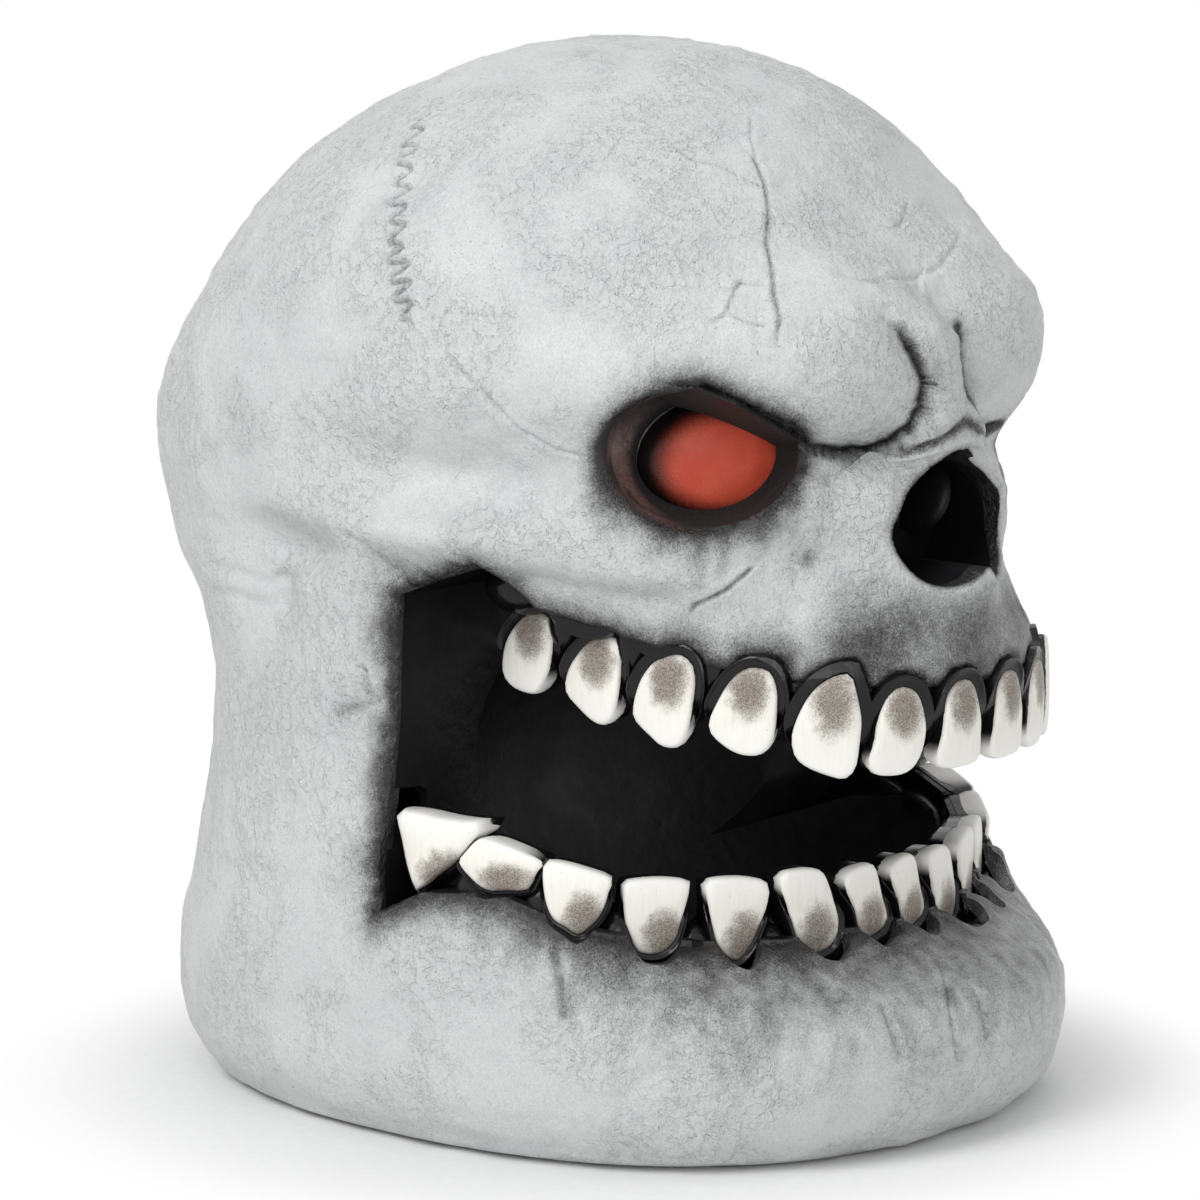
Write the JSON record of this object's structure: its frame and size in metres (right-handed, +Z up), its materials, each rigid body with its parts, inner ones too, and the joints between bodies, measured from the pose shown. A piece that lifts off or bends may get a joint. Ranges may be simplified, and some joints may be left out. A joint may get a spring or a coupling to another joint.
{
  "type": "halloween skull decoration",
  "caption": "Hollow light-up skull for the porch, with a wide open toothed mouth that works as a sweets bowl, red eyes and a battery base.",
  "frame": {"origin": "middle of the underside, on the surface that the skull stands on", "axes": "+Z up to the crown, -Y the way the face looks, +X the head's own left"},
  "size_m": [0.2982, 0.3634, 0.4],
  "materials": {
    "bone": "satin pebbled grey with sprayed black speckle round the openings",
    "gloss_black": "glossy black",
    "tooth": "satin ivory with a brown speckled root, black edges",
    "eye_lens": "frosted red with a black rim",
    "reflector": "white",
    "board": "green solder mask",
    "led": "clear red",
    "wire": "matt black",
    "base": "fine matt texture",
    "cell": "satin jacket, bare steel ends",
    "steel": "nickel plated"
  },
  "bodies": {
    "head": {"aa_battery_1": "cell", "aa_battery_2": "cell", "aa_battery_3": "cell", "base_plate": "base", "base_screw_1": "steel", "base_screw_2": "steel", "base_screw_3": "steel", "base_screw_4": "steel", "battery_box": "base", "contact_bridge_l": "steel", "contact_bridge_r": "steel", "contact_negative": "steel", "contact_positive": "steel", "eye_lens_l": "eye_lens", "eye_lens_r": "eye_lens", "led_board_l": "board", "led_board_r": "board", "led_cup_l": "reflector", "led_cup_r": "reflector", "led_l": "led", "led_r": "led", "led_wire_l": "wire", "led_wire_r": "wire", "lower_gum": "gloss_black", "lower_tooth_l1": "tooth", "lower_tooth_l2": "tooth", "lower_tooth_l3": "tooth", "lower_tooth_l4": "tooth", "lower_tooth_l5": "tooth", "lower_tooth_l6": "tooth", "lower_tooth_l7": "tooth", "lower_tooth_r1": "tooth", "lower_tooth_r2": "tooth", "lower_tooth_r3": "tooth", "lower_tooth_r4": "tooth", "lower_tooth_r5": "tooth", "lower_tooth_r6": "tooth", "lower_tooth_r7": "tooth", "mouth_liner_bowl": "gloss_black", "mouth_liner_roof": "gloss_black", "nose_liner": "gloss_black", "skull_shell": "bone", "switch_body": "base", "upper_gum": "gloss_black", "upper_tooth_l1": "tooth", "upper_tooth_l2": "tooth", "upper_tooth_l3": "tooth", "upper_tooth_l4": "tooth", "upper_tooth_l5": "tooth", "upper_tooth_l6": "tooth", "upper_tooth_l7": "tooth", "upper_tooth_r1": "tooth", "upper_tooth_r2": "tooth", "upper_tooth_r3": "tooth", "upper_tooth_r4": "tooth", "upper_tooth_r5": "tooth", "upper_tooth_r6": "tooth", "upper_tooth_r7": "tooth"},
    "battery_door": {"battery_door": "base"},
    "switch_slider": {"switch_slider": "base"}
  },
  "joints": [
    {"name": "battery_door_hinge", "type": "hinge", "parent": "head", "child": "battery_door", "pos_m": [0, 0.0782, 0.0042], "axis": [1, 0, 0], "range_deg": [0, 90]},
    {"name": "switch_slide", "type": "slide", "parent": "head", "child": "switch_slider", "axis": [1, 0, 0], "range_m": [0, 0.004]}
  ]
}
